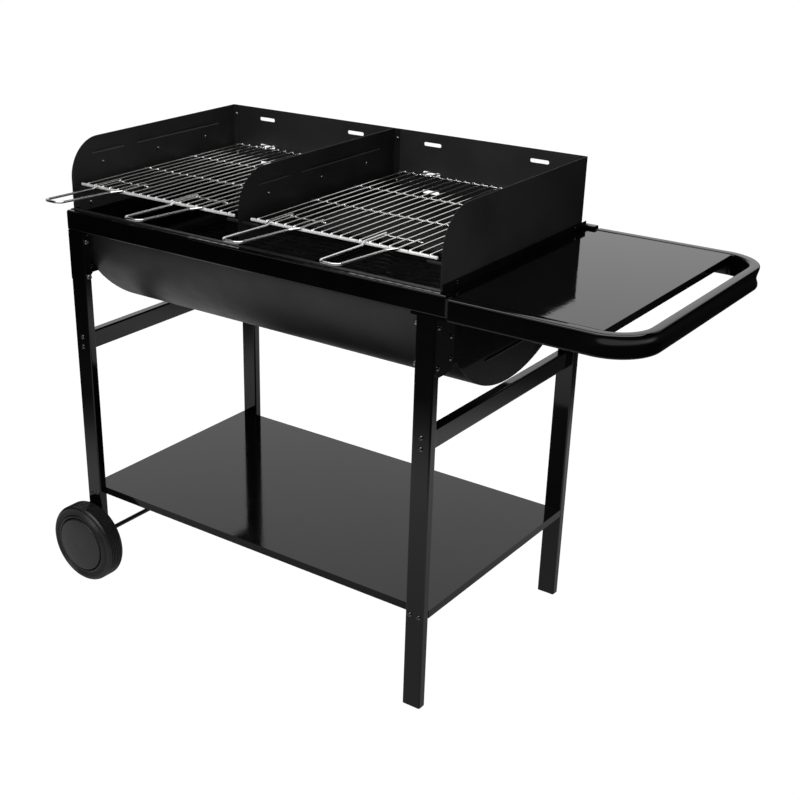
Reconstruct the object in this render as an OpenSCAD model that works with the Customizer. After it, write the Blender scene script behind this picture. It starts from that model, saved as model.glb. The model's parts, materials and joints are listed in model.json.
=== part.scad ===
// Half-barrel charcoal barbecue on a two-wheeled trolley with a side table.
// Working frame: x = 0 at the right face of the right legs, y = 0 at the front
// face of the front legs, z = 0 on the ground. place() moves it to the part's
// own frame, whose origin is at the centre of the overall box, on the ground.

/* [Frame] */
// Width over the legs, along the barrel
span_x = 900; // [700:10:1100]
// Depth over the legs, front to back
span_y = 565; // [480:5:650]
// Width of the leg and brace tube
tube_w = 40; // [30:1:50]
// Thickness of the leg, rail and brace tube
tube_t = 20; // [16:1:25]
// Wall of all the tubes
wall = 1.5; // [1:0.1:2.5]
// Corner radius of the leg and brace tube
tube_r = 3.5; // [2:0.5:5]
// Height of the rails' underside
rail_z = 805; // [760:5:850]
// Height of the rail section
rail_h = 41; // [36:1:48]
// How far the rails run past the right legs
rail_out = 17; // [10:1:24]
// Height of the braces' underside
brace_z = 544; // [480:2:600]
// Diameter of the frame bolts' shanks
bolt_d = 6; // [5:0.5:7]

/* [Shelf] */
// Height of the shelf's top face
shelf_z = 214.5; // [180:0.5:260]
// Depth of the shelf's turned-down lip
shelf_lip = 16.5; // [12:0.5:20]

/* [Side table] */
// How far the table tube reaches past the right legs
table_out = 370; // [320:5:420]
// Where the table tube starts, past the rail's end
table_start = 23; // [22:1:40]
// Outer radius of the table tube's bends
table_bend = 83; // [70:1:110]
// Right edge of the table panel
panel_out = 297; // [240:1:300]
// Depth of the panel's turned-down lip
panel_lip = 15; // [10:1:20]

/* [Barrel] */
// Outside radius of the half barrel
barrel_r = 262; // [220:1:262]
// Height of the barrel's axis
barrel_z = 862; // [850:1:880]
// Height of the fold across each end plate
fold_z = 684; // [670:1:720]
// How far the end plate's lower part slants inward at the bottom
fold_in = 9; // [4:1:14]

/* [Wind guard] */
// Height of the guard's top edge
guard_top = 984.5; // [960:0.5:1010]
// Height of the guard's lower edge
guard_z = 847.4; // [847.4:0.1:850]
// Distance of the guard's front edge from the legs' front face
guard_y = 18; // [10:1:30]
// Distance of the guard's back panel from the legs' front face
guard_back = 530; // [500:1:535]
// Radius of the side panels' top front corner
guard_r = 78; // [50:1:90]

/* [Cooking grates] */
// Height of the grates' top
grate_z = 900; // [896:1:901]
// Width of each grate over its bars
grate_w = 409; // [380:1:412]
// Number of long wires in each grate
wire_n = 19; // [15:2:21]
// Spacing of the long wires
wire_pitch = 21.1; // [19:0.1:21.5]
// Diameter of the long wires
wire_d = 3.6; // [3:0.1:4]
// Width over a handle's wire centres where it crosses the grate
arm_w = 72; // [60:1:78]
// Width over a handle's wire centres at its outer end
loop_w = 40; // [36:1:46]
// Distance of the handles' ends in front of the legs' front face
loop_out = 130; // [90:1:150]
// Height that a handle gains from the grate to its end
loop_rise = 5; // [0:1:12]

/* [Wheels] */
// Wheel diameter
wheel_d = 180; // [160:2:188]
// Wheel width over the tread
wheel_w = 45; // [36:1:50]
// Distance of the axle from the left legs' outer face
axle_in = 15; // [10:1:20]
// How far the hub caps stand out past the tyres
cap_out = 8; // [4:1:12]
// Axle diameter
axle_d = 10; // [8:0.5:12]
// Radial running clearance of the wheels on the axle
wheel_play = 0.06; // [0.03:0.01:0.1]

/* [Hidden] */

sheet = 1.2;
eps = 0.05;
$fn = 48;
hole_r = bolt_d / 2 + 0.2;
head_d = 11;
head_h = 3.4;
plate_t = 4;
plug_flange = 2.5;
wheel_gap = 2;
axle_x = -span_x + axle_in;
axle_z = wheel_d / 2;
left_leg_z = axle_z - 20;
mid_x = (table_out + axle_x - wheel_d / 2) / 2;
mid_y = (span_y + wheel_gap + wheel_w + cap_out - loop_out) / 2;
mid_depth = span_y / 2;
leg_top = rail_z - plate_t;
leg_mid = tube_w / 2;
rail_mid_z = rail_z + rail_h / 2;
table_z = rail_z - 5;
table_h = rail_h;
brace_bolt_z = [brace_z + 8.5, brace_z + 30.5];
shelf_bolt_z = shelf_z - 9.5;
insert_in = 37;
bracket_t = 2;
bracket_leg_z = [784, 709];
bracket_barrel_z = [757, 716];
bracket_y = 51;
rail_top = rail_z + rail_h;
end_top = rail_top + 10;
side_x = 3;
divider_x = -span_x / 2 - 1;
rib_z = guard_top - 33;
bay_x = [-226, -677];
// Slots in the back panel, two for each bay, at three heights
slot_x = [-105, -355, -552, -798];
slot_z = [961, 900.4, 861];
slot_w = 42;
slot_h = 7.6;
slot_r = 3.4;
guard_screw_z = [874, 964];
foot_screw_y = [66, span_y - 66];
foot_screw_z = rail_top + 4.5;
stud_y = [108, 274, 428];
stud_z = guard_top - 57;
// Cross bars of the cooking grates, front to back, under the long wires
bar_y = [32, 217, 361, 521];
bar_top = grate_z - 2.8;
front_bar_d = 6;
bar_d = 4.4;
handle_x = [-121, 92];
handle_bar_y = 93;
loop_d = 5;
loop_bead = loop_d + 0.4;
loop_r = 13;
neck_w = 50;
neck_y = 4;
peg_y = [bar_y[0], bar_y[2]];
peg_d = 6;
peg_z = bar_top - front_bar_d - peg_d / 2 - 0.3;
peg_length = 38;
coal_z = 740;
coal_t = 1.5;
coal_w = 420;
coal_depth = 459;
hub_length = 36;
axle_end = 40;
rim_r = 68;
hub_r = 15;
web_z = 13;
web_t = 5;
lip_r = 64;
cap_r = 60.5;
barrel_low = barrel_z - barrel_r;
slant = fold_in / (fold_z - barrel_low - sheet);

module place() { translate([-mid_x, -mid_y, 0]) children(); }

// Turns a piece that points along +z to point along another axis.
module face_front() { rotate([90, 0, 0]) children(); }
module face_back() { rotate([-90, 0, 0]) children(); }
module face_right() { rotate([0, 90, 0]) children(); }
module face_left() { rotate([0, -90, 0]) children(); }
// Copies a piece to the other side of the plane halfway along the depth.
module both_depths() {
    children();
    translate([0, span_y, 0]) mirror([0, 1, 0]) children();
}
// Copies a piece to the other side of the plane halfway along the width.
module both_widths() {
    children();
    translate([-span_x, 0, 0]) mirror([1, 0, 0]) children();
}

module rounded_rect(a, b, r) {
    square([a - 2 * r, b], center = true);
    square([a, b - 2 * r], center = true);
    for (i = [-1, 1], j = [-1, 1])
        translate([i * (a / 2 - r), j * (b / 2 - r)]) circle(r);
}
module tube_section(a, b, r) {
    difference() {
        rounded_rect(a, b, r);
        rounded_rect(a - 2 * wall, b - 2 * wall, r - wall);
    }
}
// A bar whose section lies in y and z, running along +x.
module along_x(length) { rotate([90, 0, 90]) linear_extrude(length) children(); }
// A bar whose section lies in x and z, running along +y.
module along_y(length) {
    translate([0, length, 0]) rotate([90, 0, 0]) linear_extrude(length) children();
}
// A round rod between two depths.
module rod_y(x, z, y0, y1, d) {
    translate([x, y0, z]) face_back() cylinder(h = y1 - y0, d = d);
}
// A round rod between two widths.
module rod_x(y, z, x0, x1, d) {
    translate([x0, y, z]) face_right() cylinder(h = x1 - x0, d = d);
}

// A round rod from one point to another.
module rod(from, to, d) {
    way = to - from;
    length = norm(way);
    translate(from) rotate([0, acos(way.z / length), atan2(way.y, way.x)])
        cylinder(h = length, d = d);
}

// Domed head on +z with a hexagon socket, shank on -z.
module bolt(length, d = bolt_d, head = head_d) {
    ball = (head * head / 4 + head_h * head_h) / (2 * head_h);
    translate([0, 0, -length]) cylinder(h = length + eps, d = d);
    difference() {
        intersection() {
            translate([0, 0, head_h - ball]) sphere(ball);
            cylinder(h = head_h + 1, d = head);
        }
        translate([0, 0, head_h - 1.6]) cylinder(h = 2, r = 2, $fn = 6);
    }
}
module hex_nut(d = bolt_d) {
    difference() {
        cylinder(h = 5, r = d * 0.95, $fn = 6);
        translate([0, 0, -1]) cylinder(h = 7, d = d + 0.1);
    }
}

// ---- frame ----

module leg(z0, out, axle) {
    difference() {
        union() {
            translate([-leg_mid, tube_t / 2, z0 + plug_flange])
                linear_extrude(leg_top - z0 - plug_flange) tube_section(tube_w, tube_t, tube_r);
            translate([-tube_w - 11, 0, leg_top]) cube([tube_w + 11 + out, tube_t, plate_t]);
        }
        for (z = brace_bolt_z) rod_y(-leg_mid, z, -1, tube_t + 1, 2 * hole_r);
        for (x = [-10, 10]) rod_y(-leg_mid + x, shelf_bolt_z, -1, tube_t + 1, 2 * hole_r);
        for (z = bracket_leg_z) rod_x(tube_t / 2, z, -tube_w - 1, 1, 2 * hole_r);
        for (x = rail_bolt_x(out))
            translate([x, tube_t / 2, leg_top - 1]) cylinder(h = plate_t + 2, r = hole_r);
        if (axle) rod_y(-axle_in, axle_z, -1, tube_t + 1, axle_d + 0.4);
    }
}
function rail_bolt_x(out) = out > 0 ? [-tube_w - 5.5, out / 2] : [-tube_w - 5.5];

module leg_front_right() { color("#141414") place() leg(0, rail_out, false); }
module leg_back_right() {
    color("#141414") place() translate([0, span_y, 0]) mirror([0, 1, 0]) leg(0, rail_out, false);
}
module left_leg() { translate([-span_x, 0, 0]) mirror([1, 0, 0]) leg(left_leg_z, 0, true); }
module leg_front_left() { color("#141414") place() left_leg(); }
module leg_back_left() {
    color("#141414") place() translate([0, span_y, 0]) mirror([0, 1, 0]) left_leg();
}

// Plug that closes a tube's end: a flange flush with the tube and a shank inside it.
module tube_plug(a, b, depth, r = tube_r) {
    linear_extrude(plug_flange) rounded_rect(a, b, r);
    translate([0, 0, plug_flange - eps]) linear_extrude(depth)
        rounded_rect(a - 2 * wall - 0.2, b - 2 * wall - 0.2, r - wall);
}
module foot_plugs() {
    color("#1c1c1c") place() both_depths() {
        translate([-leg_mid, tube_t / 2, 0]) tube_plug(tube_w, tube_t, 14);
        translate([-span_x + leg_mid, tube_t / 2, left_leg_z]) tube_plug(tube_w, tube_t, 8);
    }
}

module rail() {
    difference() {
        translate([-span_x + plug_flange, tube_t / 2, rail_mid_z])
            along_x(span_x - plug_flange + rail_out) tube_section(tube_t, rail_h, 4);
        for (x = rail_bolt_x(rail_out)) rail_hole(x);
        rail_hole(-span_x + tube_w + 5.5);
    }
}
module rail_hole(x) {
    translate([x, tube_t / 2, rail_z - 1]) cylinder(h = wall + 2, r = hole_r);
}
module rail_front() { color("#101010") place() rail(); }
module rail_back() {
    color("#101010") place() translate([0, span_y, 0]) mirror([0, 1, 0]) rail();
}
module rail_plugs() {
    color("#1c1c1c") place() both_depths()
        translate([-span_x, tube_t / 2, rail_mid_z]) rotate([90, 0, 90])
            tube_plug(tube_t, rail_h, 12, 4);
}
module rail_bolts() {
    color("#303030") place() both_depths()
        for (x = concat(rail_bolt_x(rail_out), [-span_x + tube_w + 5.5]))
            translate([x, tube_t / 2, leg_top]) rotate([180, 0, 0]) bolt(16, head = 9);
}

// Cross tube between a front and a back leg, with a tapped plate in each end.
module brace() {
    translate([-leg_mid, tube_t, brace_z + tube_w / 2]) difference() {
        along_y(span_y - 2 * tube_t) rounded_rect(tube_t, tube_w, tube_r);
        translate([0, 3, 0]) along_y(span_y - 2 * tube_t - 6)
            rounded_rect(tube_t - 2 * wall, tube_w - 2 * wall, tube_r - wall);
        for (z = brace_bolt_z)
            rod_y(0, z - brace_z - tube_w / 2, -1, span_y - 2 * tube_t + 1, 2 * hole_r);
    }
}
module brace_right() { color("#101010") place() brace(); }
module brace_left() { color("#101010") place() translate([-span_x + tube_w, 0, 0]) brace(); }
module brace_bolts() {
    color("#303030") place() both_depths() both_widths()
        for (z = brace_bolt_z) translate([-leg_mid, 0, z]) face_front() bolt(tube_t + 10);
}

// ---- shelf ----

module shelf() {
    color("#181818") place() difference() {
        translate([-span_x, tube_t, shelf_z - shelf_lip])
            cube([span_x, span_y - 2 * tube_t, shelf_lip]);
        translate([-span_x + sheet, tube_t + sheet, shelf_z - shelf_lip - 1])
            cube([span_x - 2 * sheet, span_y - 2 * (tube_t + sheet), shelf_lip + 1 - sheet]);
        for (x = shelf_bolt_x())
            rod_y(x, shelf_bolt_z, 0, span_y, 2 * hole_r);
    }
}
function shelf_bolt_x() = [
    -leg_mid - 10, -leg_mid + 10, -span_x + leg_mid - 10, -span_x + leg_mid + 10
];
module shelf_bolts() {
    color("#303030") place() both_depths() for (x = shelf_bolt_x())
        translate([x, 0, shelf_bolt_z]) face_front() bolt(tube_t + sheet + 8);
}
module shelf_nuts() {
    color("#3a3a3a") place() both_depths() for (x = shelf_bolt_x())
        translate([x, tube_t + sheet, shelf_bolt_z]) face_back() hex_nut();
}

// ---- side table ----

// The tube's path lies in a horizontal plane; its section is tube_t by table_h.
module table_arm() {
    translate([table_start, tube_t / 2, table_z + table_h / 2])
        along_x(table_out - table_bend - table_start) tube_section(tube_t, table_h, 4);
}
module table_corner() {
    translate([table_out - table_bend, table_bend, table_z + table_h / 2]) rotate([0, 0, -90])
        rotate_extrude(angle = 90, $fn = 96) translate([table_bend - tube_t / 2, 0])
            tube_section(tube_t, table_h, 4);
}
module table_tube() {
    color("#101010") place() difference() {
        union() {
            both_depths() {
                table_arm();
                table_corner();
            }
            translate([table_out - tube_t / 2, table_bend, table_z + table_h / 2])
                along_y(span_y - 2 * table_bend) tube_section(tube_t, table_h, 4);
        }
        for (y = [tube_t / 2, span_y - tube_t / 2])
            translate([table_start + 25, y, table_z - 1]) cylinder(h = wall + 2, r = hole_r);
        for (x = panel_screw_x())
            rod_y(x, table_z + table_h - 9, tube_t - 4, span_y - tube_t + 4, 3.4);
    }
}
function panel_screw_x() = [70, 240];

// Bar that joins the rail to the table tube, seen only in the gap between them.
module table_inserts() {
    play = 0.2;
    low = rail_z + wall + play;
    high = table_z + table_h - wall - play;
    middle = (low + high) / 2;
    color("#0c0c0c") place() both_depths() difference() {
        union() {
            translate([-tube_w, tube_t / 2, middle]) along_x(tube_w + table_start + insert_in)
                rounded_rect(tube_t - 2 * (wall + play), high - low, 4 - wall);
            translate([rail_out, 0.8, low])
                cube([table_start - rail_out, tube_t - 1.6, high - low]);
        }
        for (x = [rail_out / 2, table_start + 25])
            translate([x, tube_t / 2, low - 1]) cylinder(h = high - low - 6, r = hole_r);
    }
}
module table_bolts() {
    color("#303030") place() both_depths()
        translate([table_start + 25, tube_t / 2, table_z]) rotate([180, 0, 0]) bolt(18, head = 9);
}
module table_panel() {
    x0 = 4;
    y0 = tube_t + 1;
    depth = span_y - 2 * y0;
    top = table_z + table_h - 1;
    color("#161616") place() difference() {
        translate([x0, y0, top - panel_lip]) cube([panel_out - x0, depth, panel_lip]);
        translate([x0 + sheet, y0 + sheet, top - panel_lip - 1])
            cube([panel_out - x0 - 2 * sheet, depth - 2 * sheet, panel_lip + 1 - sheet]);
        for (x = panel_screw_x()) rod_y(x, top - 8, y0 - 1, y0 + depth + 1, 3.4);
    }
}
module panel_screws() {
    color("#303030") place() both_depths() for (x = panel_screw_x())
        translate([x, tube_t + 1 + sheet, table_z + table_h - 9]) face_back() {
            translate([0, 0, -6]) cylinder(h = 6 + eps, d = 3);
            cylinder(h = 1.6, d = 6);
        }
}

// ---- brackets that carry the barrel ----

module bracket() {
    difference() {
        along_x(bracket_t) polygon([[2, leg_top - 2], [2, 700], [14, 690], [52, 690],
            [62, 700], [62, leg_top - 2]]);
        for (z = bracket_leg_z) rod_x(tube_t / 2, z, -1, bracket_t + 1, 2 * hole_r);
        for (z = bracket_barrel_z) rod_x(bracket_y, z, -1, bracket_t + 1, 2 * hole_r);
    }
}
module bracket_front_right() { color("#121212") place() bracket(); }
module bracket_back_right() {
    color("#121212") place() translate([0, span_y, 0]) mirror([0, 1, 0]) bracket();
}
module left_bracket() { translate([-span_x, 0, 0]) mirror([1, 0, 0]) bracket(); }
module bracket_front_left() { color("#121212") place() left_bracket(); }
module bracket_back_left() {
    color("#121212") place() translate([0, span_y, 0]) mirror([0, 1, 0]) left_bracket();
}
module bracket_bolts() {
    color("#303030") place() both_depths() both_widths() {
        for (z = bracket_leg_z)
            translate([bracket_t, tube_t / 2, z]) face_right() bolt(bracket_t + tube_w + 8);
        for (z = bracket_barrel_z)
            translate([bracket_t, bracket_y, z]) face_right() bolt(bracket_t + sheet + 9);
    }
}
module bracket_nuts() {
    color("#3a3a3a") place() both_depths() both_widths() {
        for (z = bracket_leg_z) translate([-tube_w, tube_t / 2, z]) face_left() hex_nut();
        for (z = bracket_barrel_z) translate([-sheet, bracket_y, z]) face_left() hex_nut();
    }
}

// ---- barrel ----

// Round bar along x about the barrel's axis.
module barrel_round(r, x0, x1) {
    translate([x0, mid_depth, barrel_z]) face_right() cylinder(h = x1 - x0, r = r, $fn = 180);
}
module barrel_shell() {
    color("#262626") place() difference() {
        union() {
            difference() {
                barrel_round(barrel_r, -span_x, 0);
                barrel_round(barrel_r - sheet, -span_x - 1, 1);
                translate([-span_x - 1, -10, rail_top + sheet]) cube([span_x + 2, span_y + 20, 300]);
            }
            both_depths() translate([-span_x, 12, rail_top])
                cube([span_x, mid_depth - barrel_r - 12 + 1, sheet]);
        }
        // the ends slant inward below the fold, as the end plates do
        both_widths() along_depth([[0, fold_z], [-slant * (fold_z - barrel_low + 2), barrel_low - 2],
            [1, barrel_low - 2], [1, fold_z]]);
        // room for the upright part of each end plate
        both_widths() translate([-sheet, tube_t, fold_z]) cube([sheet + 1, span_y - 2 * tube_t, 300]);
    }
}
// End plate: upright down to the fold, then slanting in, with a pressed rib and two ears.
module barrel_end() {
    bottom = barrel_low + sheet;
    difference() {
        union() {
            intersection() {
                barrel_round(barrel_r, -sheet, 0);
                translate([-sheet, 0, fold_z]) cube([sheet, span_y, end_top - fold_z]);
            }
            intersection() {
                barrel_round(barrel_r - sheet - 0.05, -30, 1);
                along_depth([[0, fold_z], [-fold_in, bottom], [-fold_in - sheet, bottom],
                    [-sheet, fold_z]]);
            }
            both_depths() translate([-sheet, 36, 700]) cube([sheet, 45, 32]);
            translate([0, 0, fold_z]) rotate([0, atan(slant), 0]) translate([0, 0, -12]) intersection() {
                union() {
                    rod_y(-1.6, 0, 182, span_y - 182, 8);
                    for (y = [182, span_y - 182]) translate([-1.6, y, 0]) sphere(4);
                }
                translate([-0.6, 0, -10]) cube([5, span_y, 20]);
            }
        }
        both_depths() {
            for (z = bracket_barrel_z) rod_x(bracket_y, z, -sheet - 1, 1, 2 * hole_r);
            rod_x(foot_screw_y[0], foot_screw_z, -sheet - 1, 1, 5.4);
        }
    }
}
// A sheet or bar drawn in x and z, running through the whole depth.
module along_depth(points) {
    translate([0, span_y, 0]) rotate([90, 0, 0]) linear_extrude(span_y) polygon(points);
}
module barrel_end_right() { color("#202020") place() barrel_end(); }
module barrel_end_left() {
    color("#202020") place() translate([-span_x, 0, 0]) mirror([1, 0, 0]) barrel_end();
}

// ---- wind guard ----

// Outline of a side panel in y and z.
module side_outline() {
    length = guard_back - sheet - guard_y;
    height = guard_top - guard_z;
    translate([guard_y, guard_z]) square([length, height - guard_r]);
    translate([guard_y + guard_r, guard_z]) square([length - guard_r, height]);
    intersection() {
        translate([guard_y + guard_r, guard_top - guard_r]) circle(guard_r, $fn = 120);
        translate([guard_y, guard_z]) square([length, height]);
    }
}
// Side panel at x = 0..sheet with its rear flange towards +x.
module side_panel() {
    along_x(sheet) side_outline();
    translate([0, guard_back - sheet, guard_z]) cube([15, sheet, guard_top - guard_z]);
}
// Side panel with two beads pressed towards -x.
module beaded_panel() {
    difference() {
        union() {
            side_panel();
            intersection() {
                beads(4);
                translate([-3, 0, rib_z - 10]) cube([3.6, guard_back, 20]);
            }
        }
        beads(2.8);
    }
}
// Round-ended bars along the beads' common line.
module beads(r) {
    for (ends = [[82, 168], [211, 471]]) {
        rod_y(2.4, rib_z, ends[0], ends[1], 2 * r);
        for (y = ends) translate([2.4, y, rib_z]) sphere(r);
    }
}
// Outer side panel with its foot, drilled for the screws that hold it.
module outer_panel() {
    difference() {
        union() {
            children();
            translate([0, 34, guard_z - 11]) cube([sheet, guard_back - 50, 11 + eps]);
        }
        for (y = foot_screw_y) rod_x(y, foot_screw_z, -1, sheet + 1, 5.4);
        for (z = guard_screw_z) rod_y(9, z, guard_back - 5, guard_back + 5, 5.4);
    }
}
module guard_left() {
    color("#161616") place() translate([-span_x + side_x, 0, 0]) outer_panel() beaded_panel();
}
// The right panel is plain, without beads.
module guard_right() {
    color("#161616") place() translate([-side_x, 0, 0]) mirror([1, 0, 0]) outer_panel() side_panel();
}
module guard_divider() {
    color("#161616") place() translate([divider_x - sheet / 2, 0, 0]) difference() {
        beaded_panel();
        for (z = guard_screw_z) rod_y(9, z, guard_back - 5, guard_back + 5, 5.4);
    }
}
module guard_back() {
    color("#161616") place() difference() {
        translate([-span_x + side_x, guard_back, guard_z])
            cube([span_x - 2 * side_x, sheet, guard_top - guard_z]);
        for (x = slot_x, z = slot_z)
            translate([x, guard_back - 1, z]) along_y(4) rounded_rect(slot_w, slot_h, slot_r);
        for (x = guard_screw_x(), z = guard_screw_z)
            rod_y(x, z, guard_back - 1, guard_back + 3, 5.4);
    }
}
function guard_screw_x() = [-side_x - 9, divider_x - sheet / 2 + 9, -span_x + side_x + 9];

// Small screw with its nut: head on +z, the two sheets below it.
module sheet_screw() {
    bolt(2 * sheet + 7, d = 5, head = 9);
    translate([0, 0, -2 * sheet]) rotate([180, 0, 0]) hex_nut(5);
}
module guard_screws() {
    color("#303030") place() {
        for (x = guard_screw_x(), z = guard_screw_z)
            translate([x, guard_back - sheet, z]) face_front() sheet_screw();
        both_widths() for (y = foot_screw_y)
            translate([-side_x - sheet, y, foot_screw_z]) face_left() foot_screw();
    }
}
// Screw through a side panel's foot and the end plate, which stand side_x apart: its head
// is inside the guard and its end is flush with the end plate's outer face.
module foot_screw() { bolt(side_x + sheet, d = 5, head = 9); }
module guard_studs() {
    color("#303030") place() {
        for (y = stud_y) {
            translate([-span_x + side_x + sheet, y, stud_z]) face_right() stud();
            translate([divider_x + sheet / 2, y, stud_z]) face_right() stud();
            translate([-side_x - sheet, y, stud_z]) face_left() stud();
        }
    }
}
module stud() {
    intersection() {
        translate([0, 0, -1.5]) sphere(4);
        cylinder(h = 4, r = 4);
    }
}
module grate_pegs() {
    color("#8a8a8a") place() for (y = peg_y) {
        rod_x(y, peg_z, -span_x + side_x + sheet, -span_x + side_x + peg_length, peg_d);
        rod_x(y, peg_z, divider_x - peg_length, divider_x - sheet / 2, peg_d);
        rod_x(y, peg_z, divider_x + sheet / 2, divider_x + peg_length, peg_d);
        rod_x(y, peg_z, -side_x - peg_length, -side_x - sheet, peg_d);
    }
}

// ---- grates ----

// Slotted tray that lies inside the barrel; its edges rest on the barrel's wall.
module charcoal_grate(x) {
    translate([x, mid_depth, coal_z]) {
        linear_extrude(coal_t) difference() {
            square([coal_w, coal_depth], center = true);
            for (i = [-2:2], j = [-8:8])
                translate([i * 76, j * 25]) square([58, 9], center = true);
        }
        for (side = [-1, 1]) translate([side * (coal_w - coal_t) / 2 - coal_t / 2, -coal_depth / 2, 0])
            cube([coal_t, coal_depth, 14]);
    }
}
module charcoal_grate_right() { color("#1a1a1a") place() charcoal_grate(bay_x[0]); }
module charcoal_grate_left() { color("#1a1a1a") place() charcoal_grate(bay_x[1]); }

// Long wires over cross bars; two short bars carry the handles, two tongues enter the slots.
module cooking_grate(x, slots) {
    for (i = [0:wire_n - 1])
        rod_y(x + (i - (wire_n - 1) / 2) * wire_pitch, grate_z - wire_d / 2, bar_y[0] - 5, bar_y[3] + 3, wire_d);
    rod_x(bar_y[0], bar_top - front_bar_d / 2, x - grate_w / 2, x + grate_w / 2, front_bar_d);
    for (i = [1:3]) rod_x(bar_y[i], bar_top - bar_d / 2, x - grate_w / 2, x + grate_w / 2, bar_d);
    for (h = handle_x)
        rod_x(handle_bar_y, bar_top - bar_d / 2, x + h - 43, x + h + 43, bar_d);
    for (s = slots) tongue(s);
}
module tongue(x) {
    z = bar_top + bar_d / 2 - 0.3;
    for (side = [-1, 1]) rod_y(x + side * 13, z, bar_y[3] - 14, guard_back + 14, bar_d);
    rod_x(guard_back + 14, z, x - 13, x + 13, bar_d);
    for (side = [-1, 1]) translate([x + side * 13, guard_back + 14, z]) sphere(d = bar_d);
}
module cooking_grate_right() { color("#c8c8c8") place() cooking_grate(bay_x[0], [slot_x[0], slot_x[1]]); }
module cooking_grate_left() { color("#c8c8c8") place() cooking_grate(bay_x[1], [slot_x[2], slot_x[3]]); }

function unit(v) = v / norm(v);
// A round wire through points, with a bead at each bend, whose seam faces out of the bend.
module bent_wire(points, d, bead) {
    last = len(points) - 1;
    for (i = [1:last]) rod(points[i - 1], points[i], d);
    for (i = [1:last - 1]) {
        out = unit(points[i] - points[i - 1]) + unit(points[i] - points[i + 1]);
        translate(points[i]) rotate([0, 0, atan2(out.y, out.x)]) sphere(d = bead);
    }
}
// Bent wire loop: lies on two bars, narrows in front of the grate and rises to its end.
module handle() {
    low = bar_top + loop_d / 2 - 0.3;
    arm_end = bar_y[0] - front_bar_d / 2 - loop_d / 2;
    end_y = loop_d / 2 - loop_out;
    slope = loop_rise / (neck_y - end_y);
    cut = loop_r * (1 - sqrt(0.5));
    half = [
        [arm_w / 2, handle_bar_y + 2], [arm_w / 2, arm_end], [neck_w / 2, neck_y],
        [loop_w / 2, end_y + loop_r], [loop_w / 2 - cut, end_y + cut], [loop_w / 2 - loop_r, end_y]
    ];
    path = concat(half, [for (i = [len(half) - 1:-1:0]) [-half[i].x, half[i].y]]);
    bent_wire([for (p = path) [p.x, p.y, low + slope * max(0, neck_y - p.y)]], loop_d, loop_bead);
}
module grate_handles(x) {
    color("#c8c8c8") place() for (h = handle_x) translate([x + h, 0, 0]) handle();
}
module grate_handles_right() { grate_handles(bay_x[0]); }
module grate_handles_left() { grate_handles(bay_x[1]); }

// ---- axle and wheels ----

// Places a wheel part whose axis is +z, its inner face at z = 0, on the front or rear wheel.
module at_front_wheel() { translate([axle_x, -wheel_gap, axle_z]) face_front() children(); }
module at_rear_wheel() { translate([axle_x, span_y + wheel_gap, axle_z]) face_back() children(); }

module axle() {
    out = wheel_gap + axle_end;
    color("#404040") place() rod_y(axle_x, axle_z, -out, span_y + out, axle_d);
}
module washer(r, t) {
    difference() {
        cylinder(h = t, r = r);
        translate([0, 0, -1]) cylinder(h = t + 2, d = axle_d + 0.05);
    }
}
module axle_washers() {
    color("#8a8a8a") place() {
        at_front_wheel() translate([0, 0, -1.8]) washer(11, 1.6);
        at_rear_wheel() translate([0, 0, -1.8]) washer(11, 1.6);
    }
}
module axle_clips() {
    color("#8a8a8a") place() {
        at_front_wheel() translate([0, 0, hub_length + 0.3]) washer(9, 1.5);
        at_rear_wheel() translate([0, 0, hub_length + 0.3]) washer(9, 1.5);
    }
}
// Moulded wheel: ribbed rim, web and hub with a running bore.
module wheel() {
    r = wheel_d / 2;
    bore = axle_d / 2 + wheel_play;
    difference() {
        rotate_extrude($fn = 180) polygon([
            [bore, 0], [hub_r, 0], [hub_r, web_z], [rim_r, web_z], [rim_r, 0], [r - 5, 0], [r, 5],
            [r, wheel_w - 5], [r - 5, wheel_w], [lip_r, wheel_w], [lip_r, wheel_w - 5],
            [rim_r, wheel_w - 5], [rim_r, web_z + web_t], [hub_r, web_z + web_t],
            [hub_r, hub_length], [bore, hub_length]]);
        for (z = [9 : 5.4 : wheel_w - 8]) translate([0, 0, z]) rotate_extrude($fn = 180)
            translate([r - 1.4, 0]) square([3, 1.8]);
    }
}
module wheel_front() { color("#2c2c2c") place() at_front_wheel() wheel(); }
module wheel_rear() { color("#2c2c2c") place() at_rear_wheel() wheel(); }
// Domed cover that clips into the rim.
module hub_cap() {
    top = wheel_w + cap_out;
    rotate_extrude($fn = 180) polygon([
        [0, top - 3], [20, top - 3], [44, top - 4], [58, wheel_w], [58, web_z + web_t + 0.1],
        [60, web_z + web_t + 0.1], [60, wheel_w - 3], [cap_r, wheel_w - 3], [cap_r, wheel_w + 1.5],
        [cap_r - 3, wheel_w + 3.5], [45, top - 1], [20, top], [3, top], [2, top - 0.8],
        [0, top - 0.8]]);
}
module hub_cap_front() { color("#303030") place() at_front_wheel() hub_cap(); }
module hub_cap_rear() { color("#303030") place() at_rear_wheel() hub_cap(); }
leg_front_right();
leg_back_right();
leg_front_left();
leg_back_left();
foot_plugs();
rail_front();
rail_back();
rail_plugs();
rail_bolts();
brace_right();
brace_left();
brace_bolts();
shelf();
shelf_bolts();
shelf_nuts();
table_tube();
table_inserts();
table_bolts();
table_panel();
panel_screws();
bracket_front_right();
bracket_back_right();
bracket_front_left();
bracket_back_left();
bracket_bolts();
bracket_nuts();
barrel_shell();
barrel_end_right();
barrel_end_left();
guard_right();
guard_divider();
guard_left();
guard_back();
guard_screws();
guard_studs();
grate_pegs();
charcoal_grate_right();
charcoal_grate_left();
cooking_grate_right();
cooking_grate_left();
grate_handles_right();
grate_handles_left();
axle();
axle_washers();
axle_clips();
wheel_front();
wheel_rear();
hub_cap_front();
hub_cap_rear();
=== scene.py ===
import json
import math

import bmesh
import bpy
from mathutils import Matrix, Vector


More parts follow.
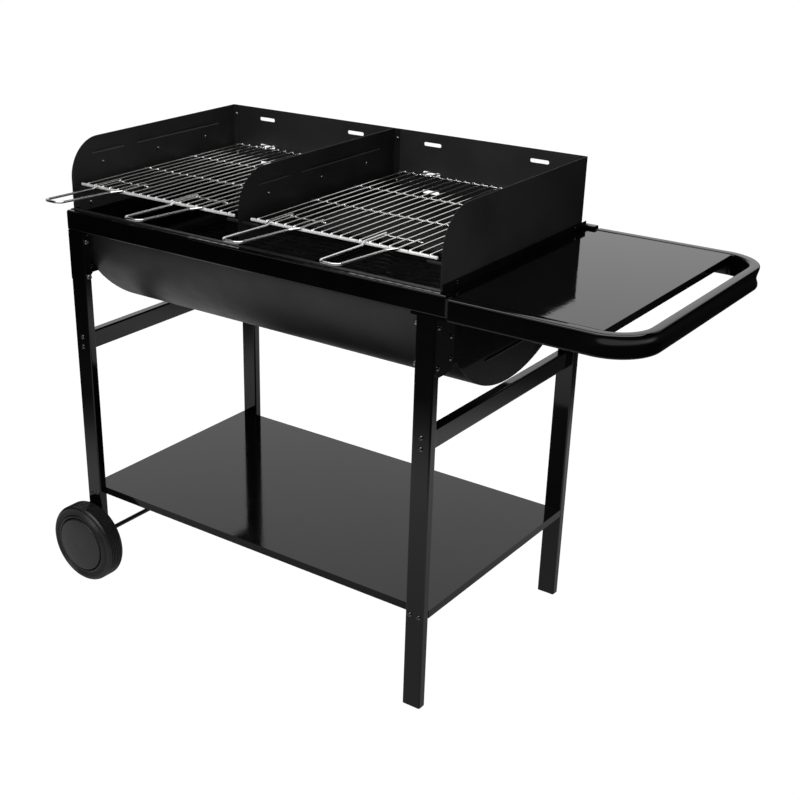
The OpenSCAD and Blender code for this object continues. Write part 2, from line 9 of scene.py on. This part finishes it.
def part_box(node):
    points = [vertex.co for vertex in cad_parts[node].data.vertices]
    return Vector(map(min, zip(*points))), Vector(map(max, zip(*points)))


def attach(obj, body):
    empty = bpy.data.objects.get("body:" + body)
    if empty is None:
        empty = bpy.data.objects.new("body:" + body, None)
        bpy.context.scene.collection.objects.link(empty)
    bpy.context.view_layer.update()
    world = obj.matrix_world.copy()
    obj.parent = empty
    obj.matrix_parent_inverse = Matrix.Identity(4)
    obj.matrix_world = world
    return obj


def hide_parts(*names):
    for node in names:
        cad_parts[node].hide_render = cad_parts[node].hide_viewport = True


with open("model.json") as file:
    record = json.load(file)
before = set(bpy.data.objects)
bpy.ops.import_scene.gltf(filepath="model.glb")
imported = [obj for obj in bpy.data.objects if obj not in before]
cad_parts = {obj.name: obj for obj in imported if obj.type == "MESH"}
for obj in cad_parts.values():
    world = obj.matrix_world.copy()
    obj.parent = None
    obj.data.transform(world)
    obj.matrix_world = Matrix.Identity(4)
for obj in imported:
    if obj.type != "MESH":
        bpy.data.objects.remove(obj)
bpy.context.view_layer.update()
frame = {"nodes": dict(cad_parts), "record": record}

scene = bpy.context.scene
nodes = frame["nodes"]

# The barbecue is laid out from the front right corner of its legs, on the ground:
# x runs right from the right legs' outer face, y back from the front legs' front
# face, z up. Sizes are in millimetres there, and spot() takes them to the frame.
MM = 0.001
CORNER = Vector((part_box("shelf")[1].x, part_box("rail_front")[0].y, 0.0))


def spot(x, y, z):
    """A point given in millimetres from the legs' corner, in the frame's metres."""
    return CORNER + Vector((x, y, z)) * MM


# ---------------------------------------------------------------- materials

def new_material(name):
    """A material with a Principled shader, its node tree and an object-space position."""
    material = bpy.data.materials.new(name)
    material.use_nodes = True
    tree = material.node_tree
    shader = tree.nodes["Principled BSDF"]
    place = tree.nodes.new("ShaderNodeTexCoord").outputs["Object"]
    return material, tree, shader, place


def noise(tree, place, scale, detail=3.0, rough=0.5):
    """Noise over the object, with a feature size of about 1 / scale metres."""
    node = tree.nodes.new("ShaderNodeTexNoise")
    node.inputs["Scale"].default_value = scale
    node.inputs["Detail"].default_value = detail
    node.inputs["Roughness"].default_value = rough
    tree.links.new(place, node.inputs["Vector"])
    return node.outputs["Fac"]


def remap(tree, value, low, high, to_low, to_high):
    """Stretches a value from one range to another, held at the ends."""
    node = tree.nodes.new("ShaderNodeMapRange")
    for socket, number in zip(("From Min", "From Max", "To Min", "To Max"), (low, high, to_low, to_high)):
        node.inputs[socket].default_value = number
    tree.links.new(value, node.inputs["Value"])
    return node.outputs["Result"]


def blend_colour(tree, factor, dark, light):
    """Two greys or colours mixed by a factor."""
    node = tree.nodes.new("ShaderNodeMix")
    node.data_type = "RGBA"
    node.inputs["A"].default_value = (*dark, 1.0)
    node.inputs["B"].default_value = (*light, 1.0)
    tree.links.new(factor, node.inputs["Factor"])
    return node.outputs["Result"]


def bump(tree, height, depth, under=None):
    """A bump from a height, depth in metres, laid over another bump."""
    node = tree.nodes.new("ShaderNodeBump")
    node.inputs["Strength"].default_value = 1.0
    node.inputs["Distance"].default_value = depth
    tree.links.new(height, node.inputs["Height"])
    if under is not None:
        tree.links.new(under, node.inputs["Normal"])
    return node.outputs["Normal"]


def paint(name, dark, light, rough_low, rough_high, peel, peel_scale, grain, grain_scale, shine=0.5):
    """Black stoved paint: orange peel and grain in its surface, faint clouds in tone and gloss."""
    material, tree, shader, place = new_material(name)
    clouds = noise(tree, place, 9.0, 4.0)
    tone = remap(tree, clouds, 0.35, 0.65, 0.0, 1.0)
    tree.links.new(blend_colour(tree, tone, (dark,) * 3, (light,) * 3), shader.inputs["Base Color"])
    smears = noise(tree, place, 26.0, 5.0, 0.6)
    tree.links.new(remap(tree, smears, 0.3, 0.7, rough_low, rough_high), shader.inputs["Roughness"])
    surface = bump(tree, noise(tree, place, peel_scale, 2.0), peel)
    surface = bump(tree, noise(tree, place, grain_scale, 2.0), grain, surface)
    tree.links.new(surface, shader.inputs["Normal"])
    shader.inputs["IOR"].default_value = 1.5
    shader.inputs["Specular IOR Level"].default_value = shine
    return material


def bare_metal(name, dark, light, rough_low, rough_high, scale, metallic=1.0):
    """Plated or bare steel, a little uneven in tone and polish. Less metallic, a near-white base takes
    diffuse light as a painted highlight.
    """
    material, tree, shader, place = new_material(name)
    shader.inputs["Metallic"].default_value = metallic
    clouds = noise(tree, place, scale, 4.0)
    tone = remap(tree, clouds, 0.3, 0.7, 0.0, 1.0)
    tree.links.new(blend_colour(tree, tone, dark, light), shader.inputs["Base Color"])
    tree.links.new(remap(tree, clouds, 0.3, 0.7, rough_low, rough_high), shader.inputs["Roughness"])
    tree.links.new(bump(tree, noise(tree, place, 900.0), 0.00004), shader.inputs["Normal"])
    return material


def plastic(name, dark, light, rough_low, rough_high):
    """Moulded plastic with a fine spark-eroded skin."""
    material, tree, shader, place = new_material(name)
    clouds = noise(tree, place, 30.0, 4.0)
    tone = remap(tree, clouds, 0.3, 0.7, 0.0, 1.0)
    tree.links.new(blend_colour(tree, tone, (dark,) * 3, (light,) * 3), shader.inputs["Base Color"])
    tree.links.new(remap(tree, clouds, 0.3, 0.7, rough_low, rough_high), shader.inputs["Roughness"])
    tree.links.new(bump(tree, noise(tree, place, 1500.0, 2.0), 0.00006), shader.inputs["Normal"])
    return material


frame_gloss = paint("frame_gloss", 0.0006, 0.0014, 0.05, 0.09, 0.00002, 180.0, 0.000005, 1600.0)
sheet_gloss = paint("sheet_gloss", 0.0005, 0.0010, 0.03, 0.07, 0.00004, 140.0, 0.000004, 1600.0)
shelf_gloss = paint("shelf_gloss", 0.003, 0.005, 0.05, 0.09, 0.00004, 140.0, 0.000004, 1600.0, 0.30)
barrel_paint = paint("barrel_paint", 0.010, 0.016, 0.38, 0.46, 0.00010, 300.0, 0.00004, 1400.0)
# The barrel's end plates: painted far darker than its shell, painted shade under the side table, with a
# glossier finish of their own
end_shaded_paint = paint("end_shaded_paint", 0.0015, 0.0030, 0.24, 0.32, 0.00004, 300.0, 0.00001, 1400.0, 0.035)
guard_paint = paint("guard_paint", 0.014, 0.020, 0.36, 0.44, 0.00008, 300.0, 0.00004, 1400.0)
tray_paint = paint("tray_paint", 0.0010, 0.0020, 0.40, 0.52, 0.00010, 300.0, 0.00006, 1200.0, 0.08)
chrome_wire = bare_metal("chrome_wire", (0.78, 0.78, 0.77), (0.95, 0.94, 0.92), 0.06, 0.14, 60.0)
zinc_steel = bare_metal("zinc_steel", (0.40, 0.40, 0.41), (0.58, 0.58, 0.58), 0.25, 0.40, 80.0)
peg_black = paint("peg_black", 0.010, 0.018, 0.30, 0.40, 0.00004, 300.0, 0.00002, 1400.0, 0.2)
# The front bar: a near-white, partly diffuse copy of the chrome, a painted highlight standing in for its
# glare
bar_zinc_painted_highlight = bare_metal("bar_zinc_painted_highlight", (0.92, 0.92, 0.91), (0.98, 0.98, 0.97), 0.30, 0.42, 60.0, 0.4)
right_guard_paint = paint("right_guard_paint", 0.014, 0.020, 0.36, 0.44, 0.00008, 300.0, 0.00004,
                          1400.0, 0.12)
# The divider: the guard's paint made darker, painted shade on its side face, which is turned away from the
# front light
divider_shaded_paint = paint("divider_shaded_paint", 0.007, 0.011, 0.36, 0.44, 0.00008, 300.0, 0.00004, 1400.0, 0.2)
axle_black = paint("axle_black", 0.004, 0.008, 0.25, 0.35, 0.0001, 300.0, 0.00003, 1400.0)
fastener_black = bare_metal("fastener_black", (0.10, 0.10, 0.10), (0.20, 0.20, 0.20), 0.12, 0.22, 90.0)
plug_plastic = plastic("plug_plastic", 0.006, 0.010, 0.35, 0.45)
wheel_plastic = plastic("wheel_plastic", 0.010, 0.015, 0.32, 0.44)
cap_plastic = plastic("cap_plastic", 0.018, 0.026, 0.34, 0.44)

# The finish of each material slot in the record
FINISHES = {
    "frame_gloss": frame_gloss, "sheet_gloss": sheet_gloss, "barrel_paint": barrel_paint,
    "guard_paint": guard_paint, "tray_paint": tray_paint, "chrome_wire": chrome_wire,
    "zinc_steel": zinc_steel, "axle_black": axle_black, "fastener_black": fastener_black,
    "plug_plastic": plug_plastic, "wheel_plastic": wheel_plastic, "cap_plastic": cap_plastic,
}
SLOT_OF = {part["node"]: part["material_slot"] for part in frame["record"]["subparts"]}
# Nodes whose finish is a little different from the rest of their slot; the divider and the barrel's end
# plates are darker as painted shade
OWN_FINISH = {
    "shelf": shelf_gloss, "barrel_end_right": end_shaded_paint, "barrel_end_left": end_shaded_paint,
    "grate_pegs": peg_black, "guard_divider": divider_shaded_paint, "guard_right": right_guard_paint,
}


# ------------------------------------------------------------- mesh helpers

def new_piece(name, mesh_builder, body, slot, *replaced, finish=None):
    """Makes a mesh object from a bmesh, in its slot's finish or its own, riding on a body."""
    mesh = bpy.data.meshes.new(name)
    mesh_builder.normal_update()
    bmesh.ops.recalc_face_normals(mesh_builder, faces=mesh_builder.faces)
    mesh_builder.to_mesh(mesh)
    mesh_builder.free()
    mesh.materials.append(finish or FINISHES[slot])
    mesh.shade_smooth()
    mesh.set_sharp_from_angle(angle=math.radians(40))
    piece = bpy.data.objects.new(name, mesh)
    scene.collection.objects.link(piece)
    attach(piece, body)
    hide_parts(*replaced)


def rounded_path(points, bends, steps=6):
    """A path through points whose inner corners are rounded by the bend radii given."""
    path = [points[0]]
    for before, corner, after, bend in zip(points, points[1:], points[2:], bends):
        back = (before - corner).normalized()
        ahead = (after - corner).normalized()
        half = back.angle(ahead) / 2
        cut = bend / math.tan(half)
        centre = corner + (back + ahead).normalized() * (bend / math.sin(half))
        first = corner + back * cut - centre
        last = corner + ahead * cut - centre
        turn = first.angle(last)
        for step in range(steps + 1):
            done = turn * step / steps
            path.append(centre + (first * math.sin(turn - done) + last * math.sin(done)) / math.sin(turn))
    path.append(points[-1])
    return path


def skin(builder, rings):
    """Faces from each ring of points to the next."""
    for ring, following in zip(rings, rings[1:]):
        for corner in range(len(ring)):
            beside = (corner + 1) % len(ring)
            builder.faces.new((ring[corner], ring[beside], following[beside], following[corner]))


def sweep(builder, path, section):
    """Skins a section along a path. section(index) gives points across the path: (to its side, up)."""
    rings = []
    side = None
    last = len(path) - 1
    for index, point in enumerate(path):
        ahead = (path[min(index + 1, last)] - path[max(index - 1, 0)]).normalized()
        if side is None:
            side = ahead.orthogonal().normalized()
        side = (side - ahead * side.dot(ahead)).normalized()
        up = ahead.cross(side)
        rings.append([builder.verts.new(point + side * a + up * b) for a, b in section(index)])
    skin(builder, rings)
    return rings


def wire(builder, path, diameter, sides=12):
    """A round wire along a path in millimetres, with eased ends."""
    radius = diameter * MM / 2
    points = [spot(*point) for point in path]
    start = (points[0] - points[1]).normalized()
    end = (points[-1] - points[-2]).normalized()
    points = [points[0] + start * radius * 0.5] + points + [points[-1] + end * radius * 0.5]
    last = len(points) - 1

    def ring(index):
        reach = radius * (0.55 if index in (0, last) else 1.0)
        turns = [2 * math.pi * corner / sides for corner in range(sides)]
        return [(reach * math.cos(turn), reach * math.sin(turn)) for turn in turns]

    rings = sweep(builder, points, ring)
    builder.faces.new(list(reversed(rings[0])))
    builder.faces.new(rings[-1])


def bead(builder, x, y, z, radius):
    """A small weld bead where two wires cross."""
    place = Matrix.Translation(spot(x, y, z)) @ Matrix.Diagonal((1, 1, 0.7, 1))
    bmesh.ops.create_icosphere(builder, subdivisions=2, radius=radius * MM, matrix=place)


def lathe(builder, hub, out, outline, segments=160):
    """Turns an outline of (radius, distance outward) in millimetres round an axle along y."""
    rings = []
    for segment in range(segments):
        turn = 2 * math.pi * segment / segments
        across = Vector((math.cos(turn), 0, math.sin(turn)))
        rings.append([builder.verts.new(hub + (across * r + Vector((0, out * y, 0))) * MM)
                      for r, y in outline])
    for ring, following in zip(rings, rings[1:] + rings[:1]):
        for low in range(len(outline) - 1):
            builder.faces.new((ring[low], ring[low + 1], following[low + 1], following[low]))
    bmesh.ops.remove_doubles(builder, verts=builder.verts, dist=0.000001)


def arc(centre_r, centre_y, radius, start, end, steps=6):
    """Points of an outline round an arc, its angles in degrees from the outward-radius direction."""
    turns = [math.radians(start + (end - start) * step / steps) for step in range(steps + 1)]
    return [(centre_r + radius * math.cos(t), centre_y + radius * math.sin(t)) for t in turns]


# ------------------------------------------------- the CAD nodes that are kept

def finish_node(name, edge):
    """Finishes a CAD node and eases its edges by edge millimetres, leaving its mesh as it is."""
    node = nodes[name]
    node.data.materials.clear()
    node.data.materials.append(OWN_FINISH.get(name, FINISHES[SLOT_OF[name]]))
    weld = node.modifiers.new("weld", "WELD")
    weld.merge_threshold = 0.00002
    if edge > 0:
        flat = node.modifiers.new("flat", "DECIMATE")
        flat.decimate_type = "DISSOLVE"
        flat.angle_limit = math.radians(0.3)
        ease = node.modifiers.new("ease", "BEVEL")
        ease.width = edge * MM
        ease.segments = 3
        ease.limit_method = "ANGLE"
        ease.angle_limit = math.radians(35)
    node.data.shade_smooth()
    smooth = node.modifiers.new("smooth", "WEIGHTED_NORMAL")
    smooth.weight = 80


# How far each node's edges are rounded, in millimetres; the rest stay sharp
EASED = {
    "leg_front_right": 0.5, "leg_back_right": 0.5, "leg_front_left": 0.5, "leg_back_left": 0.5,
    "rail_front": 0.4, "rail_back": 0.4, "brace_right": 0.4, "brace_left": 0.4,
    "shelf": 3.0, "table_panel": 2.5,
    "bracket_front_right": 0.4, "bracket_back_right": 0.4,
    "bracket_front_left": 0.4, "bracket_back_left": 0.4,
    "barrel_shell": 0.5, "barrel_end_right": 0.5, "barrel_end_left": 0.5,
    "guard_right": 0.45, "guard_left": 0.45, "guard_divider": 0.45, "guard_back": 0.45,
    "foot_plugs": 0.6, "rail_plugs": 0.6, "table_inserts": 0.4,
}
for name in sorted(nodes):
    finish_node(name, EASED.get(name, 0.0))


# ----------------------------------------------------------- cooking grates

GRATE_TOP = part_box("cooking_grate_right")[1].z / MM
LONG_WIRE = 3.2
CROSS_BAR = 4.4
FRONT_BAR = 6.0
HANDLE_WIRE = 5.0
# How far the wires are sunk into the bars below them
WIRE_SINK = 0.8
WIRE_BEAD_R = 2.6
LONG_WIRES = 19
WIRE_PITCH = 21.1
BAR_HALF = 204.5
# How far back the bars lie, the first being the front bar
BAR_DEPTHS = (32.0, 217.0, 361.0, 521.0)
# The two handles' middles, from the grate's middle; each lies on a short bar of its own
HANDLES = (-121.0, 92.0)
SHORT_BAR_DEPTH = 93.0
SHORT_BAR_HALF = 43.0
# A tongue's half width, and where it starts and ends
TONGUE_HALF = 13.0
TONGUE_FROM = 506.0
TONGUE_TO = 544.0
# A handle's right half from its back end: across, back, and up from its straight part; None is its front end
HANDLE_HALF = ((36, 95, 0), (36, 26, 0), (25, 4, 0), (20, None, 5))
HANDLE_BENDS = (7, 7, 12, 12, 7, 7)


def middle_x(node):
    """Where a node's middle is across the barbecue, in millimetres from the legs' corner."""
    low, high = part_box(node)
    return ((low.x + high.x) / 2 - CORNER.x) / MM


def cross_bar(builder, middle, half, depth, z, diameter):
    """A straight bar across the grate."""
    wire(builder, [(middle - half, depth, z), (middle + half, depth, z)], diameter)


def cooking_grate(side, tongues):
    """Plated wires laid over bars, short bars under the handles, two tongues, a thicker front bar."""
    node = "cooking_grate_" + side
    body = side + "_cooking_grate"
    middle = middle_x(node)
    wire_z = GRATE_TOP - LONG_WIRE / 2
    bar_top = GRATE_TOP - LONG_WIRE + WIRE_SINK
    bar_z = bar_top - CROSS_BAR / 2
    front = BAR_DEPTHS[0] + 0.5
    back = BAR_DEPTHS[-1] + 3.0
    wires_x = [middle + (count - (LONG_WIRES - 1) / 2) * WIRE_PITCH for count in range(LONG_WIRES)]

    builder = bmesh.new()
    for x in wires_x:
        wire(builder, [Vector((x, front, wire_z)), Vector((x, back, wire_z))], LONG_WIRE)
        for depth in BAR_DEPTHS:
            bead(builder, x + 0.6, depth, bar_top, WIRE_BEAD_R)
    for depth in BAR_DEPTHS[1:]:
        cross_bar(builder, middle, BAR_HALF, depth, bar_z, CROSS_BAR)
    for offset in HANDLES:
        cross_bar(builder, middle + offset, SHORT_BAR_HALF, SHORT_BAR_DEPTH, bar_z, CROSS_BAR)
    tongue_z = bar_top + CROSS_BAR / 2 - 0.3
    for offset in tongues:
        left = middle + offset - TONGUE_HALF
        right = middle + offset + TONGUE_HALF
        corners = [Vector((x, y, tongue_z)) for x, y in (
            (left, TONGUE_FROM), (left, TONGUE_TO), (right, TONGUE_TO), (right, TONGUE_FROM))]
        wire(builder, rounded_path(corners, (5, 5)), CROSS_BAR)

    bar = bmesh.new()
    cross_bar(bar, middle, BAR_HALF, BAR_DEPTHS[0], bar_top + 1.2 - FRONT_BAR / 2, FRONT_BAR)
    for x in wires_x:
        bead(bar, x, BAR_DEPTHS[0] + 4.0, wire_z + 0.2, 2.4)
    # The front bar takes the near-white copy of the chrome, a painted highlight
    new_piece("front_bar_" + side, bar, body, "chrome_wire", node, finish=bar_zinc_painted_highlight)
    new_piece("wire_grate_" + side, builder, body, "chrome_wire", node)


def grate_handles(side):
    """Two bent loops of thicker wire: each lies on two bars, narrows, and rises to its end."""
    node = "grate_handles_" + side
    middle = middle_x("cooking_grate_" + side)
    z = GRATE_TOP - 0.6
    bead_z = z - 1.6
    end_y = (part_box(node)[0].y - CORNER.y) / MM + HANDLE_WIRE / 2
    half = [(across, end_y if y is None else y, rise) for across, y, rise in HANDLE_HALF]
    outline = [(-across, y, rise) for across, y, rise in half] + half[::-1]
    builder = bmesh.new()
    for offset in HANDLES:
        x = middle + offset
        corners = [Vector((x + across, y, z + rise)) for across, y, rise in outline]
        wire(builder, rounded_path(corners, HANDLE_BENDS, 8), HANDLE_WIRE, 16)
        for across in (-HANDLE_HALF[0][0], HANDLE_HALF[0][0]):
            bead(builder, x + across, SHORT_BAR_DEPTH, bead_z, 3.2)
            bead(builder, x + across, BAR_DEPTHS[0], bead_z, 3.4)
    new_piece("loop_handles_" + side, builder, side + "_cooking_grate", "chrome_wire", node)


cooking_grate("right", (121.0, -129.0))
cooking_grate("left", (125.0, -121.0))
grate_handles("right")
grate_handles("left")


# ------------------------------------------------------------------- wheels

TYRE_R = 90.0
CAP_R = 61.5
LIP_R = 63.5
RECESS_R = 68.0
BORE_R = 5.2
HUB_R = 15.5
WEB_OUT = 13.0
# The tread's ribs: where the first is across the tyre, their pitch and the depth between them
FIRST_RIB = 8.5
RIB_PITCH = 5.0
RIB_DEPTH = 2.2
# The raised rings on the side wall, by radius
WALL_RINGS = (79.5, 76.0, 72.5)
WALL_RING_H = 1.2


def wheel_outline(width):
    """The wheel's turned outline: open inside, ribbed tread, ringed side wall, closed by a web."""
    inner = [(BORE_R, 0.0), (HUB_R - 1, 0.0), (HUB_R, 1.0), (HUB_R, WEB_OUT),
             (RECESS_R, WEB_OUT), (RECESS_R, 1.0)]
    inner += arc(TYRE_R - 7, 7, 7, -90, 0)
    tread = []
    rib = FIRST_RIB
    valley = TYRE_R - RIB_DEPTH
    while rib < width - 10:
        tread += [(TYRE_R, rib), (valley, rib + 0.7), (valley, rib + 2.6), (TYRE_R, rib + 3.3)]
        rib += RIB_PITCH
    wall = arc(TYRE_R - 9, width - 9, 9, 0, 70)
    for ring_r in WALL_RINGS:
        wall += [(ring_r + WALL_RING_H, width - WALL_RING_H), (ring_r + 0.5, width),
                 (ring_r - 0.5, width), (ring_r - WALL_RING_H, width - WALL_RING_H)]
    wall += arc(LIP_R + 3, width - 0.8, 2.8, 60, 180)
    wall += [(LIP_R, width - 10), (BORE_R, width - 10)]
    return inner + tread + wall + [(BORE_R, 0.0)]


def cap_outline(width, proud):
    """The hub cap's outline: a rounded edge, a crowned face and a small dimple in its middle."""
    edge = width + 1.8
    face = width + 4.1
    outline = [(CAP_R, width - 12), (CAP_R, edge)] + arc(CAP_R - 2.2, edge, 2.2, 10, 65, 4)
    dimple = 4
    rim = CAP_R - 4.5
    crown = width + proud - face
    for step in range(13):
        share = 1 - step / 13
        outline.append((dimple + (rim - dimple) * share, face + crown * (1 - share ** 2.6)))
    return outline + [(2.6, width + proud - 0.3), (0.0, width + proud - 0.9)]


def wheel(end, out):
    """A moulded wheel with a ribbed tread and ringed side walls, and its domed cap."""
    low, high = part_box("wheel_" + end)
    hub = Vector(((low.x + high.x) / 2, high.y if out < 0 else low.y, (low.z + high.z) / 2))
    width = (high.y - low.y) / MM
    builder = bmesh.new()
    lathe(builder, hub, out, wheel_outline(width))
    new_piece("moulded_wheel_" + end, builder, end + "_wheel", "wheel_plastic", "wheel_" + end)
    cap_low, cap_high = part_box("hub_cap_" + end)
    proud = (low.y - cap_low.y if out < 0 else cap_high.y - high.y) / MM
    builder = bmesh.new()
    lathe(builder, hub, out, cap_outline(width, proud))
    new_piece("domed_cap_" + end, builder, end + "_wheel", "cap_plastic", "hub_cap_" + end)


wheel("front", -1)
wheel("rear", 1)


# -------------------------------------------------------------- table tube

BEND_R = 83.0
TUBE_T = 20.0
TUBE_H = 41.0
TUBE_CORNER = 4.0
DENT = 4.5


def tube_section(dent):
    """The tube's section as (outward, up): rounded corners, and a dent in its outer wall."""
    half_t = TUBE_T / 2
    half_h = TUBE_H / 2
    ring = []
    for out, up, start in ((1, 1, 0), (-1, 1, 90), (-1, -1, 180), (1, -1, 270)):
        centre = (out * (half_t - TUBE_CORNER), up * (half_h - TUBE_CORNER))
        ring += [(centre[0] + TUBE_CORNER * math.cos(math.radians(start + turn)),
                  centre[1] + TUBE_CORNER * math.sin(math.radians(start + turn)))
                 for turn in range(0, 91, 18)]
    flat = half_h - TUBE_CORNER
    ring += [(half_t, -flat + 2 * flat * step / 12) for step in range(1, 12)]
    dented = []
    for out, up in ring:
        if out > half_t - 0.01:
            out -= dent * (0.5 + 0.5 * math.cos(math.pi * up / flat)) if abs(up) < flat else 0
        dented.append((out, up))
    return dented


def table_tube():
    """The side table's bent tube, dented on the outside of its two bends."""
    low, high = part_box("table_tube")
    start = (low.x - CORNER.x) / MM
    end = (high.x - CORNER.x) / MM
    depth = (high.y - low.y) / MM
    middle_z = (low.z + high.z) / 2 / MM
    straight = (start, start + 30, end - BEND_R - 25)
    builder = bmesh.new()
    rings = []

    def add(x, y, facing, dent):
        """Adds the section at a point of the tube's middle line."""
        across = Vector((math.sin(facing), -math.cos(facing), 0))
        rings.append([builder.verts.new(spot(x + across.x * out, y + across.y * out, middle_z + up))
                      for out, up in tube_section(dent)])

    centre_x = end - BEND_R
    reach = BEND_R - TUBE_T / 2
    bends = ((BEND_R, 0.0), (depth - BEND_R, 90.0))
    for x in straight:
        add(x, TUBE_T / 2, 0.0, 0.0)
    for centre_y, first in bends:
        for step in range(25):
            share = step / 24
            facing = math.radians(first + 90 * share)
            dent = DENT * min(1.0, math.sin(math.pi * share) * 1.8)
            add(centre_x + reach * math.sin(facing), centre_y - reach * math.cos(facing), facing, dent)
    for x in reversed(straight):
        add(x, depth - TUBE_T / 2, math.pi, 0.0)
    skin(builder, rings)
    new_piece("bent_tube", builder, "frame", "frame_gloss", "table_tube")


table_tube()


# ---------------------------------------------------------- floor, light, camera

def card(name, middle, size, facing, strength, camera_sees=False):
    """A flat glowing card: the floor, the backdrop or a soft box."""
    mesh = bpy.data.meshes.new(name)
    wide = size[0] / 2
    high = size[1] / 2
    corners = [(-wide, -high, 0), (wide, -high, 0), (wide, high, 0), (-wide, high, 0)]
    mesh.from_pydata(corners, [], [(0, 1, 2, 3)])
    card_object = bpy.data.objects.new(name, mesh)
    scene.collection.objects.link(card_object)
    card_object.location = middle
    card_object.rotation_euler = Vector(facing).to_track_quat("Z", "Y").to_euler()
    material = bpy.data.materials.new(name)
    material.use_nodes = True
    tree = material.node_tree
    tree.nodes.remove(tree.nodes["Principled BSDF"])
    glow = tree.nodes.new("ShaderNodeEmission")
    glow.inputs["Strength"].default_value = strength
    tree.links.new(glow.outputs["Emission"], tree.nodes["Material Output"].inputs["Surface"])
    mesh.materials.append(material)
    card_object.visible_camera = camera_sees
    return card_object, tree, glow


def radial_glow(tree, glow, reach, profile):
    """Makes a card's glow follow a profile of (distance, strength) from its middle out to reach."""
    place = tree.nodes.new("ShaderNodeTexCoord").outputs["Object"]
    distance = tree.nodes.new("ShaderNodeVectorMath")
    distance.operation = "LENGTH"
    tree.links.new(place, distance.inputs[0])
    ramp = tree.nodes.new("ShaderNodeValToRGB")
    stops = ramp.color_ramp.elements
    while len(stops) < len(profile):
        stops.new(0.5)
    for stop, (far, strength) in zip(stops, profile):
        stop.position = far / reach
        stop.color = (strength, strength, strength, 1)
    tree.links.new(remap(tree, distance.outputs["Value"], 0, reach, 0, 1), ramp.inputs["Fac"])
    tree.links.new(ramp.outputs["Color"], glow.inputs["Strength"])


# How brightly the floor is lit, by distance in metres from the middle of the barbecue; the dim middle is a
# painted shadow of the barbecue
FLOOR_GLOW = ((0.0, 0.30), (0.55, 0.36), (0.85, 0.48), (1.15, 0.60),
              (1.3, 0.52), (1.5, 0.2), (1.7, 0.05), (3.0, 0.01))
# The light room that the camera sees, and the dim one that lights and mirrors
SEEN_LEVEL = 1.03
DIM_LEVEL = 0.012


def unmirrored(name, centre, size, facing, strength):
    """A soft light that the gloss doesn't mirror, so that it only lifts the flat paint."""
    panel, _, _ = card(name, centre, size, facing, strength)
    panel.visible_glossy = False


def mirrored_only(name, centre, size, facing, strength):
    """A soft box seen only in the gloss, so that wires and folds gleam and flat paint stays dark."""
    panel, _, _ = card(name, centre, size, facing, strength)
    panel.visible_diffuse = False


def studio():
    """White all round to the eye; what the gloss mirrors is a lit floor, walls and soft boxes."""
    world = bpy.data.worlds.new("white_room")
    world.use_nodes = True
    scene.world = world
    tree = world.node_tree
    room = tree.nodes["Background"]
    room.inputs["Color"].default_value = (1, 1, 1, 1)
    room.inputs["Strength"].default_value = SEEN_LEVEL
    dim = tree.nodes.new("ShaderNodeBackground")
    dim.inputs["Color"].default_value = (1, 1, 1, 1)
    dim.inputs["Strength"].default_value = DIM_LEVEL
    mix = tree.nodes.new("ShaderNodeMixShader")
    path = tree.nodes.new("ShaderNodeLightPath")
    tree.links.new(path.outputs["Is Camera Ray"], mix.inputs["Fac"])
    tree.links.new(dim.outputs["Background"], mix.inputs[1])
    tree.links.new(room.outputs["Background"], mix.inputs[2])
    tree.links.new(mix.outputs["Shader"], tree.nodes["World Output"].inputs["Surface"])

    middle = spot(-300, 282, 0)
    floor, _, _ = card("floor", middle + Vector((0, 0, -0.002)), (40, 40), (0, 0, 1), SEEN_LEVEL,
                       camera_sees=True)
    for kind in ("visible_diffuse", "visible_glossy", "visible_shadow", "visible_transmission"):
        setattr(floor, kind, False)
    # The lit floor glows as light; its dim middle is a painted shadow of the barbecue
    _, lit_tree, lit_glow = card("lit_floor", middle + Vector((0, 0, -0.001)), (6, 6), (0, 0, 1), 1.0)
    radial_glow(lit_tree, lit_glow, 3.0, FLOOR_GLOW)
    card("back_wall", spot(-2200, 2600, 2000), (5.3, 1.7), (0, -1, 0), 0.95)
    unmirrored("front_wall", spot(500, -2900, 2150), (3.6, 2.0), (-0.1, 1, -0.12), 4.6)
    unmirrored("right_fill", spot(750, -450, 1000), (0.5, 0.5), (-1, 0.8, -0.1), 6.5)
    card("left_wall", spot(-3200, 400, 2100), (3.0, 1.6), (1, 0, 0), 0.4)
    card("top_fill", spot(200, -600, 3300), (2.0, 1.2), (-0.1, 0.1, -1), 1.2)
    mirrored_only("top_box", spot(200, -300, 3310), (4.2, 3.0), (-0.1, 0.1, -1), 3.0)
    mirrored_only("front_glow", spot(-1700, -2900, 2100), (2.8, 1.6), (0.1, 1, -0.12), 0.6)
    mirrored_only("high_wall", spot(1500, 2600, 2700), (2.1, 1.4), (-0.3, -1, -0.3), 0.45)


def look():
    """The camera, at the height and angle that shows the table's mirrored top."""
    data = bpy.data.cameras.new("camera")
    data.lens = 60.0
    data.sensor_width = 36.0
    data.shift_x = 0.1143
    data.shift_y = 0.0679
    eye = bpy.data.objects.new("camera", data)
    scene.collection.objects.link(eye)
    eye.location = spot(1139.68, -1829.99, 1548.71)
    eye.rotation_euler = (1.1346, 0.0, 0.6570)
    scene.camera = eye


studio()
look()
scene.view_settings.view_transform = "Standard"
